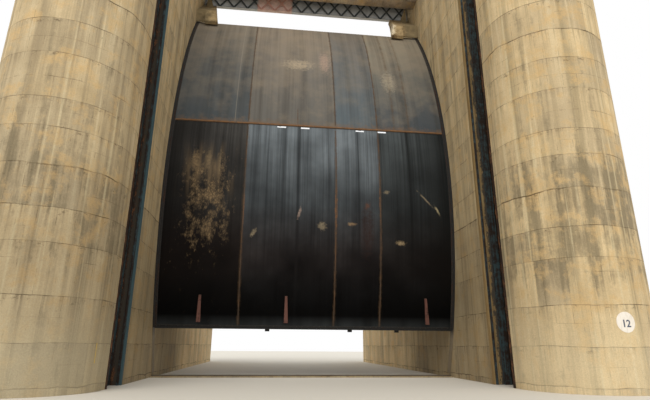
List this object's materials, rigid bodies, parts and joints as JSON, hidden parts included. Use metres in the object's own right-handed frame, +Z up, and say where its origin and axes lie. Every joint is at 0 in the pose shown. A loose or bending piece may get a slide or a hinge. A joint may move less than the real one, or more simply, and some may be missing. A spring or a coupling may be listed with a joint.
{
  "type": "radial gate",
  "caption": "Spillway radial gate: a curved steel leaf on trunnion arms between two round-nosed concrete piers with stop-log grooves and a bridge.",
  "frame": {"origin": "on the ground, in the middle of the footprint of the two piers", "axes": "+X across the bay to the right as seen from upstream, +Y downstream, +Z up"},
  "size_m": [27, 35.8998, 29.05],
  "materials": {
    "pier_concrete": "cast concrete, board-marked",
    "bridge_concrete": "cast concrete, brown with dust",
    "rusted_steel": "rusted mill steel",
    "painted_rail_steel": "dull blue-grey paint",
    "lattice_steel": "dull dark paint",
    "black_skin_plate": "black primer on mill steel",
    "dusty_skin_plate": "dark primer under dust",
    "seal_rubber": "matt",
    "cast_trunnion_steel": "primed casting",
    "leaf_frame_steel": "primer with rust"
  },
  "bodies": {
    "posts": {"left_pier_nose": "pier_concrete", "left_pier_body": "pier_concrete", "left_pier_tail": "pier_concrete", "right_pier_nose": "pier_concrete", "right_pier_body": "pier_concrete", "right_pier_tail": "pier_concrete", "sill_beam": "pier_concrete", "sill_plate": "rusted_steel", "groove_edge_angles": "rusted_steel", "groove_track_rails": "painted_rail_steel", "left_seal_plate": "rusted_steel", "right_seal_plate": "rusted_steel", "left_trunnion_beam": "pier_concrete", "right_trunnion_beam": "pier_concrete", "left_trunnion_bracket": "cast_trunnion_steel", "right_trunnion_bracket": "cast_trunnion_steel", "trunnion_pins": "cast_trunnion_steel", "bridge_girders": "bridge_concrete", "bridge_deck": "bridge_concrete", "girder_pedestals": "pier_concrete", "lattice_corbels": "pier_concrete", "lattice_chords": "lattice_steel", "lattice_webs": "lattice_steel"},
    "leaf": {"skin_lower_1": "black_skin_plate", "skin_lower_2": "black_skin_plate", "skin_lower_3": "black_skin_plate", "skin_lower_4": "black_skin_plate", "skin_upper_1": "dusty_skin_plate", "skin_upper_2": "dusty_skin_plate", "skin_upper_3": "dusty_skin_plate", "skin_upper_4": "dusty_skin_plate", "seam_ledge": "rusted_steel", "lip_plate": "leaf_frame_steel", "bottom_seal": "seal_rubber", "side_seals": "seal_rubber", "lower_ribs": "leaf_frame_steel", "upper_ribs": "leaf_frame_steel", "bottom_girder": "leaf_frame_steel", "middle_girder": "leaf_frame_steel", "top_girder": "leaf_frame_steel", "bottom_arms": "leaf_frame_steel", "middle_arms": "leaf_frame_steel", "top_arms": "leaf_frame_steel", "arm_bracing": "leaf_frame_steel", "girder_bracing": "leaf_frame_steel", "left_hub": "cast_trunnion_steel", "right_hub": "cast_trunnion_steel", "side_rollers": "leaf_frame_steel", "lip_bars": "rusted_steel", "lip_lugs": "leaf_frame_steel", "hoist_lugs": "leaf_frame_steel"}
  },
  "joints": [
    {"name": "leaf_lift", "type": "hinge", "parent": "posts", "child": "leaf", "pos_m": [0, 13.37, 9.95], "axis": [-1, 0, 0], "range_deg": [-6.2, 40]}
  ]
}
